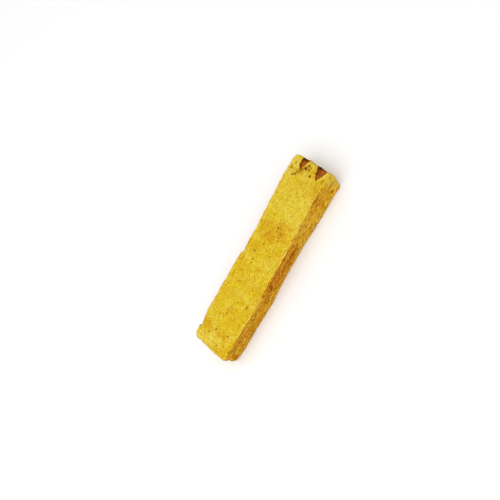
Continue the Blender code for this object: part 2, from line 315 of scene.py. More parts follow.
SIDE_PALE = (
    (-45.0, 5.0, 1.0, 2.4, 0.6), (-38.8, 6.0, 1.0, 1.6, 0.5), (-30.0, 9.6, 2.6, 1.8, 0.5),
    (-28.0, 10.4, 3.0, 2.4, 0.7), (-26.0, 10.8, 2.2, 1.2, 0.5), (-22.4, 11.4, 4.0, 0.8, 0.9),
    (-14.0, 10.2, 1.2, 1.2, 0.5), (-12.2, 4.6, 1.0, 1.4, 0.6), (-6.0, 1.4, 8.0, 0.9, 0.8),
    (-4.8, 4.0, 1.4, 1.2, 0.5), (-2.0, 4.2, 1.6, 0.9, 0.6), (0.8, 9.0, 1.0, 0.9, 0.9),
    (1.6, 8.8, 1.4, 1.2, 0.8), (2.4, 9.6, 0.7, 0.8, 0.8), (2.6, 5.6, 1.2, 1.0, 0.6),
    (5.0, 8.3, 1.8, 1.0, 0.8), (5.6, 8.6, 1.2, 0.9, 0.9), (8.6, 8.8, 2.2, 1.7, 0.8),
    (8.6, 3.8, 1.6, 1.0, 0.7), (12.0, 1.5, 14.0, 1.1, 1.0), (12.6, 9.8, 2.4, 2.6, 0.8),
    (13.8, 3.4, 2.2, 1.4, 0.7), (14.6, 7.0, 1.6, 2.6, 0.8), (17.4, 9.8, 3.0, 2.8, 0.8),
    (19.0, 3.6, 3.0, 2.2, 0.6), (22.0, 8.0, 9.0, 9.0, 0.45), (24.0, 9.6, 3.8, 3.0, 0.9),
    (25.6, 5.2, 3.4, 2.8, 0.6), (26.4, 5.4, 4.6, 3.4, 0.9), (28.0, 9.6, 2.0, 1.4, 0.4),
    (30.0, 2.4, 6.0, 2.4, 0.9), (32.0, 4.4, 2.2, 2.2, 0.8), (37.4, 2.8, 4.4, 2.6, 0.8),
    (38.6, 8.4, 2.6, 2.2, 0.7), (41.4, 10.6, 4.0, 1.6, 0.9), (41.6, 2.4, 3.0, 1.6, 0.8),
    (45.2, 4.0, 2.2, 3.4, 1.0), (46.2, 9.6, 1.8, 3.8, 1.0),
)
SIDE_DARK = (
    (-47.6, 3.4, 0.9, 0.9, 1.0), (-46.2, 6.8, 0.6, 1.1, 0.45), (-45.0, 10.4, 0.6, 0.6, 0.8),
    (-40.8, 5.2, 0.5, 1.0, 0.55), (-39.4, 9.0, 0.7, 1.1, 0.55), (-37.4, 11.7, 0.95, 0.45, 0.55),
    (-36.4, 6.0, 0.6, 1.1, 0.45), (-33.6, 11.9, 0.7, 0.45, 0.55), (-27.4, 8.4, 0.5, 1.4, 0.45),
    (-22.8, 7.0, 0.6, 1.1, 0.45), (-15.4, 11.4, 0.6, 1.3, 0.55), (-12.2, 8.0, 0.7, 1.1, 0.7),
    (-10.8, 7.4, 1.3, 1.6, 1.0), (-10.5, 8.0, 1.2, 2.1, 1.0), (-9.9, 9.6, 1.3, 2.2, 1.0),
    (-9.7, 10.2, 1.1, 2.8, 1.0), (-8.0, 2.6, 1.8, 0.5, 0.6), (-6.8, 5.4, 0.85, 1.0, 0.7),
    (-6.2, 8.6, 1.2, 0.5, 0.6), (-5.6, 10.6, 0.5, 1.8, 0.8), (-3.4, 8.2, 0.7, 0.8, 0.7),
    (-2.6, 11.3, 1.6, 0.5, 0.7), (-1.2, 5.8, 0.6, 1.1, 0.7), (0.5, 6.4, 0.85, 0.7, 0.9),
    (2.0, 6.3, 3.0, 0.5, 0.9), (2.2, 4.4, 0.7, 0.8, 0.55), (3.4, 10.9, 2.2, 0.65, 1.0),
    (3.8, 6.0, 0.85, 0.9, 0.9), (4.4, 11.8, 1.7, 0.55, 0.9), (5.6, 4.4, 2.0, 0.4, 0.6),
    (6.0, 6.1, 0.7, 0.8, 1.0), (6.6, 3.6, 0.85, 0.8, 0.55), (7.0, 5.9, 6.5, 0.5, 0.75),
    (7.6, 10.9, 1.2, 0.7, 0.9), (7.8, 6.4, 0.6, 0.7, 0.9), (8.0, 11.7, 0.6, 0.7, 0.8),
    (9.0, 5.4, 3.4, 0.50, 1.0), (9.3, 5.8, 0.7, 0.8, 1.0), (11.3, 4.4, 0.5, 0.9, 0.9),
    (11.5, 7.9, 0.6, 0.9, 0.8), (11.6, 10.8, 1.1, 0.5, 0.8), (13.0, 6.4, 1.0, 0.4, 0.7),
    (19.2, 9.8, 0.6, 0.9, 0.55), (21.2, 12.0, 0.7, 0.35, 0.7), (22.3, 8.2, 0.5, 1.4, 0.45),
    (32.2, 12.1, 0.6, 0.35, 0.8), (33.4, 9.2, 0.6, 0.8, 1.0), (34.2, 12.0, 0.85, 0.45, 1.0),
    (38.2, 3.4, 0.5, 0.9, 0.55), (42.6, 4.0, 0.5, 1.4, 0.45),
)

# Dark specks just under the right arris
UNDER_DARK = (
    (-16.0, 11.9, 1.2, 0.9, 0.8), (-10.2, 11.9, 2.0, 0.9, 0.9), (-5.8, 11.9, 0.9, 0.9, 0.9),
    (4.4, 11.9, 2.2, 0.9, 1.0), (8.0, 11.9, 0.8, 0.9, 1.0), (11.6, 11.9, 1.6, 0.9, 0.8),
    (21.4, 11.9, 0.8, 0.9, 0.8), (34.4, 11.9, 1.6, 0.9, 1.0),
)

# Light flecks of resin in the gouges
GOUGE_LIGHT = (
    (44.7, -4.9, 0.5, 0.35, 1.0), (45.4, -6.0, 0.5, 0.4, 0.6), (46.6, -7.0, 0.5, 0.4, 0.5),
    (46.8, -6.1, 0.9, 0.5, 1.0), (46.9, 4.9, 0.8, 0.5, 0.6), (47.8, -7.7, 1.0, 0.6, 0.8),
    (48.0, -5.6, 0.6, 0.4, 0.8), (48.1, 4.1, 0.6, 0.45, 0.8),
)
# Dark resin in the gouges, and painted shade at their deep mouths and along their walls
GOUGE_DARK_AND_SHADE = (
    (45.2, -6.9, 0.8, 0.3, 0.5), (45.4, -4.3, 1.4, 0.35, 0.8), (46.0, 5.6, 0.9, 0.4, 0.6),
    (47.4, -3.5, 1.5, 0.6, 0.9), (48.4, 5.9, 1.2, 0.4, 0.7), (49.0, -6.3, 0.7, 1.6, 0.9),
    (49.2, -4.0, 1.7, 1.0, 1.0), (49.8, 5.0, 1.1, 1.1, 1.0), (50.0, 3.0, 1.0, 1.4, 1.0),
)

# How each table of stains and painted shade is read: the axis of its second place, a seed, and how far its
# outlines wander and how ragged they are
STAINS = {
    "top_warm": (TOP_WARM, ACROSS, 201, 0.7, 0.45),
    "side_warm": (SIDE_WARM, UP, 211, 0.7, 0.45),
    "top_pale": (TOP_PALE, ACROSS, 221, 0.7, 0.45),
    "side_pale": (SIDE_PALE, UP, 231, 0.7, 0.45),
    "top_dark": (TOP_DARK, ACROSS, 241, 0.25, 0.30),
    "side_dark": (SIDE_DARK, UP, 251, 0.25, 0.30),
    "under_dark": (UNDER_DARK, UP, 271, 0.10, 0.20),
    "gouge_light": (GOUGE_LIGHT, ACROSS, 281, 0.20, 0.40),
    "gouge_dark_and_shade": (GOUGE_DARK_AND_SHADE, ACROSS, 291, 0.30, 0.40),
}
# The grains of a stain's wandering and ragged outline, and where it fades, as a share of its half sizes
STAIN_WANDER = (1.7, 1.7, 1.7)
STAIN_RAGGED = (1.1, 1.1, 1.1)
STAIN_FADE = (1.35, 0.45)
# A band across the top that no warm stain reaches: where it begins and where it is over
CLEAR_BEGIN = (18.6, 19.4)
CLEAR_OVER = (22.0, 20.5)
# The left face has no table: its shares of warm and dark streaks
LEFT_WARM = 0.8
LEFT_DARK = 0.9

# How pale each arris of the top face is worn, with a painted highlight where it faces up: place along,
# share. The lower arrises have one share.
RIGHT_WORN_AND_HIGHLIGHT = (
    (-50, 0.3), (-34, 0.4), (-31, 0.7), (-18, 0.75), (-14, 0.6), (-11, 0.1), (-8, 0.2), (-5, 0.9),
    (18, 1.0), (28, 1.0), (35, 0.9), (42, 0.4), (50, 0.1),
)
LEFT_WORN_AND_HIGHLIGHT = (
    (-50, 0.3), (-38, 0.4), (-36, 1.0), (-28, 1.0), (-26, 0.5), (-21, 0.5), (-19, 1.0), (-9, 1.0),
    (-7, 0.4), (6, 0.3), (9, 1.0), (28, 1.0), (32, 0.6), (50, 0.6),
)
LOW_WORN_AND_HIGHLIGHT = 0.7

# Pores and specks that stand alone on the top face: along, across, radius, strength
TOP_SPECKS = (
    (-46.7, 6.7, 0.4, 0.5), (-46.4, -2.8, 0.6, 0.6), (-45.8, -9.7, 0.5, 0.8), (-42.9, 4.5, 0.55, 0.8),
    (-40.0, 1.5, 0.65, 0.6), (-39.8, -5.7, 0.7, 0.7), (-39.2, -2.7, 0.5, 0.6), (-38.7, 6.9, 0.5, 0.6),
    (-30.8, 1.1, 0.55, 0.7), (-29.0, -7.5, 0.4, 0.3), (-26.9, 0.4, 0.45, 0.4), (-24.0, -1.3, 0.6, 0.6),
    (-23.9, -6.8, 0.8, 0.6), (-22.0, 2.5, 0.5, 0.6), (-21.4, -1.1, 0.5, 0.5), (-20.4, -7.3, 0.5, 0.4),
    (-18.5, 8.3, 0.5, 0.5), (-17.3, 0.6, 0.4, 0.4), (-13.6, 6.4, 0.4, 0.3), (-12.6, -7.6, 0.35, 0.3),
    (-10.0, 7.0, 0.3, 0.3), (-5.3, 8.3, 0.45, 0.6), (-5.0, 2.9, 0.5, 0.7), (-4.2, 7.9, 0.45, 0.6),
    (-2.8, 3.1, 0.5, 0.9), (-2.1, 6.1, 0.4, 0.4), (0.4, 1.0, 0.4, 0.6), (0.9, 4.7, 0.55, 0.7),
    (2.0, -0.3, 0.4, 0.3), (5.6, 1.9, 0.5, 0.9), (8.8, 1.1, 0.4, 0.4), (13.8, -2.8, 0.5, 0.6),
    (14.0, -0.9, 0.35, 0.4), (15.4, -0.5, 0.55, 0.8), (18.3, 7.8, 0.5, 0.6), (24.6, 4.3, 0.35, 0.3),
    (31.2, 2.5, 0.5, 0.4), (34.0, 2.6, 0.45, 0.4), (36.0, 7.0, 0.4, 0.4), (38.6, 9.0, 0.35, 0.4),
    (39.6, 9.2, 0.5, 0.4), (39.8, 7.8, 0.35, 0.4), (40.2, 4.0, 0.3, 0.4), (40.6, 5.2, 0.35, 0.5),
    (40.7, 6.6, 0.5, 0.7), (41.2, -0.8, 0.3, 0.4), (41.4, -4.2, 0.35, 0.4), (41.6, 5.7, 0.5, 0.6),
    (41.6, 8.6, 0.4, 0.5), (42.0, 2.0, 0.3, 0.4), (42.0, 3.4, 0.4, 0.5), (42.2, -6.6, 0.4, 0.5),
    (42.5, 4.6, 0.4, 0.5), (42.6, 7.6, 0.4, 0.5), (43.0, 9.2, 0.6, 0.4), (43.1, -1.6, 0.6, 0.8),
    (43.5, 8.3, 0.4, 0.5), (43.6, 6.2, 0.4, 0.6), (44.0, 0.5, 0.4, 0.6), (44.2, 9.6, 0.35, 0.4),
    (44.5, 1.9, 0.4, 0.6), (44.6, -0.4, 0.35, 0.5), (44.6, 7.4, 0.35, 0.5), (44.9, -2.6, 0.35, 0.4),
    (45.2, 9.0, 0.4, 0.5), (45.4, 0.2, 0.5, 0.8), (45.4, -1.6, 0.5, 0.3), (45.7, 2.3, 0.75, 1.0),
    (46.0, 8.3, 0.5, 0.4), (46.0, -2.2, 0.4, 0.6), (46.2, 0.5, 0.4, 0.6), (46.5, 1.9, 0.45, 0.7),
    (46.6, -1.4, 0.35, 0.4), (46.9, 7.4, 0.35, 0.5), (47.2, 0.4, 0.4, 0.7), (47.3, 1.2, 0.5, 0.8),
    (47.4, -1.0, 0.35, 0.5), (47.6, 1.9, 0.35, 0.5), (48.1, -0.4, 0.35, 0.5), (48.3, 0.9, 0.35, 0.6),
)

# What the mesh stores for the material, each attribute with its channels
CHANNELS = {
    "faces": ("side", "end", "bevel", "left"),
    "stains_and_painted_light": ("warm", "pale", "dark", "worn_and_highlight"),
    "marks": ("gouge", "pore", "hollow_shade"),
}

# The noise: the slopes at its grid's corners, and large odd numbers that scatter them
SLOPES = np.array(
    [(x, y, 0) for x in (1, -1) for y in (1, -1)]
    + [(x, 0, z) for x in (1, -1) for z in (1, -1)]
    + [(0, y, z) for y in (1, -1) for z in (1, -1)],
    float,
)
SCATTER = (73856093, 19349663, 83492791)
SEED_SCATTER = 97531
STIR = 1274126177


def pick(cells, seed, choices):
    """A whole number below choices for each cell of the noise's grid, always the same for the same cell."""
    x, y, z = (cells * SCATTER).T
    mixed = x ^ y ^ z ^ seed * SEED_SCATTER
    mixed = (mixed ^ (mixed >> 13)) * STIR & 0xFFFFFFFF
    return ((mixed ^ (mixed >> 15)) & 0xFFFFFF) % choices


def noise(points, size, seed):
    """Smooth noise between about -1 and 1. size is how long its grains are, along X, Y and Z."""
    place = points / np.array(size, float)
    cell = np.floor(place).astype(np.int64)
    within = place - cell
    ease = within**3 * (within * (within * 6 - 15) + 10)
    total = np.zeros(len(points))
    for corner in itertools.product((0, 1), repeat=3):
        corner = np.array(corner)
        slope = SLOPES[pick(cell + corner, seed, len(SLOPES))]
        share = np.where(corner == 1, ease, 1 - ease).prod(axis=1)
        total += share * ((within - corner) * slope).sum(axis=1)
    return total


def layered(points, size, seed, layers):
    """Noise with finer noise on it."""
    size = np.array(size, float)
    return sum(noise(points, size / 2**i, seed + i) / 2**i for i in range(layers))


def step(low, high, value):
    """0 below low, 1 above high, smooth between them. low may be the higher one."""
    share = np.clip((value - low) / (high - low), 0, 1)
    return share * share * (3 - 2 * share)


def pattern(points, name):
    """One of PATTERNS at each point."""
    size, seed, layers, patch = PATTERNS[name]
    values = layered(points, size, seed, layers)
    return step(*patch, values) if patch else values


def mesh_patterns(points):
    """All patterns that the relief and the stains use, by name."""
    made = {name: pattern(points, name) for name in PATTERNS}
    slant = points[:, 0] + SAW_SLANT * points[:, 1] + SAW_WANDER * made["saw_wander"]
    made["saw"] = np.sin(slant * 2 * math.pi / SAW_PITCH) * made["saw_patch"]
    made["fibre"] = 1 - 2 * np.abs(made["fibre"])
    made["crack"] = step(*CRACK_WIDTH, np.abs(made["crack"])) * made["crack_patch"]
    made["plain"] = np.ones(len(points))
    return made


def added_up(amounts, kinds, patterns):
    """The patterns, each times its amount and the share of the kind of place that shows it."""
    return sum(
        kinds[kind] * amount * patterns[name]
        for kind, row in amounts.items()
        for name, amount in row.items()
    )


def dense_copy():
    """The solid's surface made again in small even faces."""
    copy = bpy.data.objects.new("dense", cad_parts[STICK].data.copy())
    bpy.context.scene.collection.objects.link(copy)
    remesh = copy.modifiers.new("even_faces", "REMESH")
    remesh.mode = "VOXEL"
    remesh.voxel_size = VOXEL * MM
    smooth = copy.modifiers.new("soft_facets", "SMOOTH")
    smooth.iterations = SMOOTHING
    bpy.context.view_layer.update()
    made = bpy.data.meshes.new_from_object(copy.evaluated_get(bpy.context.evaluated_depsgraph_get()))
    bpy.data.objects.remove(copy)
    made.materials.clear()
    return made


def read(items, field):
    """Three numbers of each vertex or normal, as rows."""
    values = np.empty(len(items) * 3)
    items.foreach_get(field, values)
    return values.reshape(-1, 3)


def store(mesh, name, values):
    """Up to four numbers for each vertex, for the material to read. Those not given are 1."""
    filled = np.ones((len(mesh.vertices), 4))
    filled[:, :len(values)] = np.clip(np.stack(values, axis=1), 0, 1)
    mesh.color_attributes.new(name, "FLOAT_COLOR", "POINT").data.foreach_set("color", filled.ravel())


def neighbours_mean(mesh, values, rounds):
    """values spread over each vertex's neighbours, a number of times."""
    edges = np.empty(len(mesh.edges) * 2, dtype=np.int64)
    mesh.edges.foreach_get("vertices", edges)
    a, b = edges.reshape(-1, 2).T
    count = np.bincount(np.concatenate([a, b]), minlength=len(values))[:, None]
    for _ in range(rounds):
        total = np.zeros_like(values)
        for axis in range(values.shape[1]):
            total[:, axis] += np.bincount(a, values[b, axis], len(values))
            total[:, axis] += np.bincount(b, values[a, axis], len(values))
        values = 0.5 * values + 0.5 * total / count
    return values


def spots(points, table, axis, seed, wander, rough):
    """How strongly a table of stains and painted shade marks each point. Their outlines are ragged."""
    x = points[:, 0] + wander * noise(points, STAIN_WANDER, seed)
    v = points[:, axis] + wander * noise(points, STAIN_WANDER, seed + 1)
    ragged = rough * layered(points, STAIN_RAGGED, seed + 2, 2)
    marked = np.zeros(len(points))
    for place_x, place_v, long, wide, strength in table:
        away = np.sqrt(((x - place_x) / long) ** 2 + ((v - place_v) / wide) ** 2)
        marked = np.maximum(marked, strength * step(*STAIN_FADE, away + ragged))
    return marked


def pore_places(points, normals):
    """Where the pores are, listed ones first: place, half length, half width, strength."""
    rng = np.random.default_rng(PORE_SEED)
    places = [
        ((x, y, THICKNESS), radius * SPECK_LONG, radius * SPECK_WIDE, strength)
        for x, y, radius, strength in TOP_SPECKS
    ]
    for i in rng.choice(len(points), PORES, replace=False):
        broad = abs(normals[i, 2]) > SQUARE
        kind = "end" if abs(normals[i, 0]) > SQUARE else "broad" if broad else "narrow"
        long = rng.uniform(*PORE_LENGTHS[kind])
        wide = rng.uniform(*PORE_WIDTHS)
        if not broad or rng.random() < BROAD_PORES:
            strength = rng.uniform(*(BROAD_STRENGTHS if broad else OTHER_STRENGTHS))
            places.append((points[i], long, wide, strength))
    return places


def pits(points, normals):
    """How deep in a pore each point is, from 0 to 1. Pores are drawn out along the grain."""
    depth = np.zeros(len(points))
    reach_long, reach_wide = PORE_REACH
    for place, long, wide, strength in pore_places(points, normals):
        offset = points - np.array(place)
        in_reach = (np.abs(offset[:, 0]) < long * reach_long) & (np.abs(offset[:, 1]) < wide * reach_wide)
        near = np.flatnonzero(in_reach)
        away = offset[near] / (long, wide, wide * PORE_HEIGHT)
        depth[near] = np.maximum(depth[near], strength * np.exp(-PORE_FADE * (away**2).sum(axis=1)))
    return depth


def gouge_share(points):
    """How far each point is in a gouge, and how far on its lip, which gets a painted highlight."""
    inside = np.zeros(len(points))
    lip = np.zeros(len(points))
    ragged = RESIN_RAGGED * pattern(points, "resin_edge")
    for table, (inner_depth, mouth_depth) in zip(GOUGES, GOUGE_DEPTHS):
        places, upper, lower = zip(*table)
        high = np.interp(points[:, 0], places, upper)
        low = np.interp(points[:, 0], places, lower)
        middle = (high + low) / 2
        outside = np.abs(points[:, 1] - middle) - (high - low) / 2 + ragged
        outside = np.maximum(outside, places[0] - points[:, 0] + ragged)
        share = (points[:, 0] - places[0]) / (FAR_MOUTH - places[0])
        depth = inner_depth + (mouth_depth - inner_depth) * np.clip(share, 0, 1)
        from_middle = np.abs(points[:, 1] - middle) / np.maximum(high - low, LEAST_WIDTH)
        over_floor = points[:, 2] - THICKNESS + depth * (1 - np.minimum(from_middle, 0.5))
        here = step(*RESIN_OUTSIDE, outside) * step(*RESIN_FLOOR, over_floor + FLOOR_RAGGED * ragged)
        inside = np.maximum(inside, here)
        beside = step(*LIP_OUTSIDE, outside) * step(*LIP_START, points[:, 0] - places[0])
        # The painted highlight is full on the lower lip and weaker on the upper one
        lip = np.maximum(lip, beside * np.where(points[:, 1] < middle, 1.0, UPPER_LIP))
    return inside, lip * (1 - inside)


def worn_and_highlight_share(points):
    """How much each place along the arrises is worn pale, with a painted highlight."""
    on_right = np.interp(points[:, 0], *zip(*RIGHT_WORN_AND_HIGHLIGHT))
    on_left = np.interp(points[:, 0], *zip(*LEFT_WORN_AND_HIGHLIGHT))
    upper = step(*TOP_ARRIS, points[:, 2])
    return upper * np.where(points[:, 1] < 0, on_right, on_left) + (1 - upper) * LOW_WORN_AND_HIGHLIGHT


def bends(mesh, normals):
    """How much the normals round each vertex differ, from 0 on a flat face."""
    return 1 - np.linalg.norm(neighbours_mean(mesh, normals, ARRIS_ROUNDS), axis=1)


def kinds_of_place(points, even, bend, patterns):
    """How far each vertex belongs to each kind of place."""
    from_nick = np.linalg.norm((points - NICK) / NICK_SIZE, axis=1)
    kinds = {
        "top": step(*BROAD_FACING, even[:, 2]),
        "foot": step(*BROAD_FACING, -even[:, 2]),
        "right": step(*NARROW_FACING, -even[:, 1]),
        "left": step(*NARROW_FACING, even[:, 1]),
        "end": step(*END_FACING, np.abs(even[:, 0])),
        "lit": step(*LIT_FACING, even[:, 2]),
        "arris": step(*ARRIS_BEND, bend),
        "nick": step(*NICK_EDGE, from_nick + NICK_RAGGED * patterns["fuzz"]),
        "pore": pits(points, even),
    }
    kinds["side"] = kinds["right"] + kinds["left"]
    kinds["broad"] = kinds["top"] + kinds["foot"]
    kinds["gouge"], kinds["lip"] = gouge_share(points)
    return kinds


def bevel_share(points, even):
    """How far each point is on the cut-off corner."""
    along = points[:, 0] + BEVEL_LEAN * (points[:, 2] - BEVEL_HEIGHT)
    share = step(*BEVEL_ALONG, along) * step(*BEVEL_FACING, -even[:, 1])
    return share * step(*BEVEL_ACROSS, points[:, 1])


def stain_and_painted_light_shares(points, kinds, patterns):
    """How warm, pale and dark the wood is at each point, how worn, and its painted shade and highlight."""
    table_shares = {name: spots(points, *how) for name, how in STAINS.items()}
    top, right, left, arris, lit = (kinds[name] for name in ("top", "right", "left", "arris", "lit"))
    clear = top * step(*CLEAR_BEGIN, points[:, 0]) * step(*CLEAR_OVER, points[:, 0])
    warm = top * table_shares["top_warm"] * (1 - clear)
    warm += right * table_shares["side_warm"] + left * LEFT_WARM * patterns["left_warm"]
    pale = top * table_shares["top_pale"] + right * table_shares["side_pale"]
    under = arris * (1 - lit) * kinds["side"] * step(*TOP_ARRIS, points[:, 2])
    dark = top * table_shares["top_dark"] + right * table_shares["side_dark"] + left * LEFT_DARK * patterns["streak"]
    dark += under * np.maximum(patterns["under"], table_shares["under_dark"])
    in_gouge = kinds["gouge"] > IN_GOUGE
    return {
        "warm": warm,
        "pale": np.where(in_gouge, table_shares["gouge_light"], pale),
        # In the gouges the dark is dark resin and painted shade at their deep mouths and along their walls
        "dark": np.where(in_gouge, table_shares["gouge_dark_and_shade"], dark),
        # Wear and a painted highlight on the arrises where they face up, and a painted highlight on the
        # gouges' lips
        "worn_and_highlight": np.maximum(arris * lit * worn_and_highlight_share(points), kinds["lip"] * top),
    }


def build_stick():
    """The stick's surface with its relief, and what its material needs to know at each vertex."""
    mesh = dense_copy()
    points = read(mesh.vertices, "co") / MM
    normals = read(mesh.vertex_normals, "vector")
    even = neighbours_mean(mesh, normals, EVEN_ROUNDS)
    even /= np.linalg.norm(even, axis=1, keepdims=True)
    patterns = mesh_patterns(points)
    kinds = kinds_of_place(points, even, bends(mesh, normals), patterns)

    moved = points + even * added_up(RELIEF, kinds, patterns)[:, None]
    low, high = np.array(CAD_BOX) / MM
    mesh.vertices.foreach_set("co", (np.clip(moved, low, high) * MM).ravel())
    mesh.shade_smooth()

    known = kinds | stain_and_painted_light_shares(points, kinds, patterns)
    known["bevel"] = bevel_share(points, even)
    # Painted shade in the hollows of the relief: its troughs, cracks and tears
    known["hollow_shade"] = added_up(HOLLOW_SHADES, kinds, patterns)
    for name, channels in CHANNELS.items():
        store(mesh, name, [known[channel] for channel in channels])
    stick = bpy.data.objects.new("stick_wood", mesh)
    bpy.context.scene.collection.objects.link(stick)
    return stick


def sliver(middle, along, out, length, width, rise):
    """The corners of one closed splinter, which is widest before its middle and ends in two points."""
    across = np.cross(out, along)
    thick = width * SPLINTER_THICK
    corners = [middle - along * length * 0.5]
    for share, size in SLIVER_PROFILE:
        core = middle + along * length * (share - 0.5) + out * rise * share**2
        for side_way, out_way in SLIVER_SECTION:
            corners.append(core + across * width * size * side_way * 0.5 + out * thick * size * out_way * 0.5)
    corners.append(middle + along * length * 0.5 + out * rise)
    return corners


def sliver_faces():
    """The faces of a splinter, as numbers of its corners."""
    rings = len(SLIVER_PROFILE)
    last = 4 * rings + 1
    faces = []
    for k in range(4):
        after = (k + 1) % 4
        faces.append((0, 1 + after, 1 + k))
        for ring in range(1, 4 * rings - 3, 4):
            faces.append((ring + k, ring + after, ring + 4 + after, ring + 4 + k))
        faces.append((last - 4 + k, last - 4 + after, last))
    return faces


def splinter_odds(mesh, points, normals, even):
    """How likely each vertex is to carry a splinter."""
    on_narrow = np.abs(even[:, 1]) > SPLINTER_NARROW
    on_arris = (bends(mesh, normals) > SPLINTER_ARRIS) & (np.abs(normals[:, 2]) < SPLINTER_BROAD)
    odds = LIKELY_ANYWHERE + LIKELY_NARROW * on_narrow + LIKELY_ARRIS * on_arris
    odds *= 1 - GOUGE_SPARED * (gouge_share(points)[0] > SPLINTER_GOUGE)
    return odds / odds.sum()


def build_splinters(stick):
    """Loose fibres along the arrises, on the split faces and round the ends."""
    points = read(stick.data.vertices, "co") / MM
    normals = read(stick.data.vertex_normals, "vector")
    even = neighbours_mean(stick.data, normals, EVEN_ROUNDS)
    rng = np.random.default_rng(SPLINTER_SEED)
    odds = splinter_odds(stick.data, points, normals, even)
    corners, faces = [], []
    for i in rng.choice(len(points), SPLINTERS, replace=False, p=odds):
        out = even[i] / np.linalg.norm(even[i])
        on_end = abs(out[0]) > SQUARE
        along = np.array([1.0, 0, 0]) + rng.normal(0, STRAY)
        if on_end:
            along = np.array([0, 1.0, 0]) + rng.normal(0, END_STRAY)
        along -= out * along.dot(out)
        along *= rng.choice((-1, 1)) / np.linalg.norm(along)
        if on_end:
            length = rng.uniform(*END_LENGTHS)
        else:
            room = 2 * (SPLINTER_END - abs(points[i, 0]))
            length = min(SPLINTER_LENGTH + rng.exponential(LENGTH_ADDED), LONGEST, max(room, SHORTEST))
        width = rng.uniform(*SPLINTER_WIDTHS)
        made = sliver(points[i], along, out, length, width, rng.uniform(*SPLINTER_RISES))
        first = len(corners)
        corners += made
        faces += [tuple(first + k for k in face) for face in sliver_faces()]
    low, high = np.array(CAD_BOX) / MM
    corners = np.clip(np.array(corners), low, high) * MM
    mesh = bpy.data.meshes.new("splinters")
    mesh.from_pydata(corners.tolist(), [], faces)
    mesh.shade_smooth()
    splinters = bpy.data.objects.new("stick_splinters", mesh)
    bpy.context.scene.collection.objects.link(splinters)
    return splinters


def colour(r, g, b):
    return (r, g, b, 1.0)


# Sawn faces
YELLOW = colour(0.665, 0.485, 0.008)
GOLD = colour(0.64, 0.375, 0.003)
PALE = colour(0.735, 0.585, 0.060)
LEMON = colour(0.75, 0.60, 0.088)
ORANGE = colour(0.57, 0.255, 0.002)
BRIGHT = colour(0.90, 0.70, 0.075)
# Split faces
OCHRE = colour(0.60, 0.285, 0.005)
LIGHT_OCHRE = colour(0.71, 0.40, 0.012)
AMBER = colour(0.66, 0.27, 0.004)
RED_BROWN = colour(0.48, 0.140, 0.002)
RUST = colour(0.63, 0.175, 0.001)
DARK_RUST = colour(0.27, 0.056, 0.0005)
STRAW = colour(0.81, 0.50, 0.014)
CHAFF = colour(0.88, 0.58, 0.090)
# Ends, arrises and the cut-off corner
END_LIGHT = colour(0.58, 0.36, 0.035)
END_DARK = colour(0.40, 0.195, 0.010)
LIP = colour(0.86, 0.62, 0.14)
# Pale wear and a painted highlight on the arrises, and the painted highlight on the gouges' lips
WORN_AND_HIGHLIGHT = colour(0.98, 0.69, 0.13)
OLIVE = colour(0.67, 0.50, 0.050)
# Pores and resin
BROWN = colour(0.24, 0.085, 0.001)
UMBER = colour(0.085, 0.028, 0.0005)
RESIN = colour(0.30, 0.080, 0.003)
RESIN_LIGHT = colour(0.44, 0.140, 0.010)
RESIN_PINK = colour(0.62, 0.17, 0.045)
RESIN_DARK = colour(0.045, 0.010, 0.001)

# Noises of the materials: how long their grains are along X, Y and Z, their detail and roughness and, where
# they have them, their distortion and their turn about Z, which follows the saw
SAW_TURN = math.radians(-20)
WOOD_NOISES = {
    "band": ((4.2, 26, 26), 3, 0.55, 0.4, SAW_TURN),
    "cloud": ((5.0, 6.0, 6.0), 3, 0.6, 0.5),
    "mottle": ((1.9, 2.0, 2.0), 3, 0.6, 0.3),
    "speckle": ((1.20, 0.58, 0.58), 1, 0.5, 0.35),
    "grit": ((0.72, 0.43, 0.43), 1, 0.5),
    "chop": ((1.60, 0.76, 0.80), 1, 0.6, 0.4),
    "stroke": ((0.62, 5.0, 5.0), 2, 0.5, 0.3, SAW_TURN),
    "hair": ((3.6, 0.24, 0.24), 2, 0.6, 0.2),
    "dash": ((1.7, 0.32, 0.32), 1, 0.5),
    "fleck": ((3.2, 0.55, 0.55), 2, 0.6, 0.4),
    "grain": ((17, 0.60, 0.60), 3, 0.6, 0.35),
    "ring_wander": ((24, 5.0, 5.0), 3, 0.5),
    "ochre_field": ((12, 3.0, 3.0), 3, 0.6, 0.3),
    "amber_streak": ((5.0, 1.3, 1.3), 3, 0.6, 0.4),
    "red_streak": ((3.8, 1.0, 1.0), 3, 0.6, 0.4),
    "end_cloud": ((2.6, 2.2, 2.2), 4, 0.7),
    "end_pore": ((0.5, 0.40, 0.40), 1, 0.5),
    "end_stroke": ((1.0, 0.26, 1.2), 2, 0.6, 0.3),
    "end_fleck": ((0.7, 0.40, 0.40), 2, 0.6),
    "worn_and_highlight_gap": ((1.3, 1.3, 1.3), 2, 0.6),
}
FIBRE_NOISES = {
    "patch": ((2.4, 2.4, 2.4), 2, 0.6),
    "strand": ((1.6, 0.16, 0.16), 2, 0.6),
}

# Coats of colour, from the lowest up. Each has its colour, a share that holds it back or None, and how much
# of it there is. Where a noise or a share spreads it, there follow that one's name, the value where the coat
# begins to change, the value where there is as much as said and, unless it is 0, how much there is before.
SAWN_COATS = (
    (GOLD, None, 0.80, "band", 0.34, 0.66),
    (PALE, None, 0.85, "cloud", 0.48, 0.70),
    (ORANGE, "warm", 0.90, "mottle", 0.25, 0.60, 0.45),
    (LEMON, "pale", 0.60, "mottle", 0.30, 0.70, 0.95),
    (ORANGE, None, 0.52, "mottle", 0.50, 0.72),
    (PALE, None, 0.50, "mottle", 0.46, 0.26),
    (PALE, None, 0.30, "stroke", 0.50, 0.75),
    (BROWN, None, 0.26, "speckle", 0.50, 0.28),
    (PALE, None, 0.34, "speckle", 0.50, 0.74),
    (BROWN, None, 0.50, "dash", 0.66, 0.80),
    (BROWN, None, 0.36, "grit", 0.50, 0.28),
    (BRIGHT, None, 0.55, "grit", 0.50, 0.72),
)
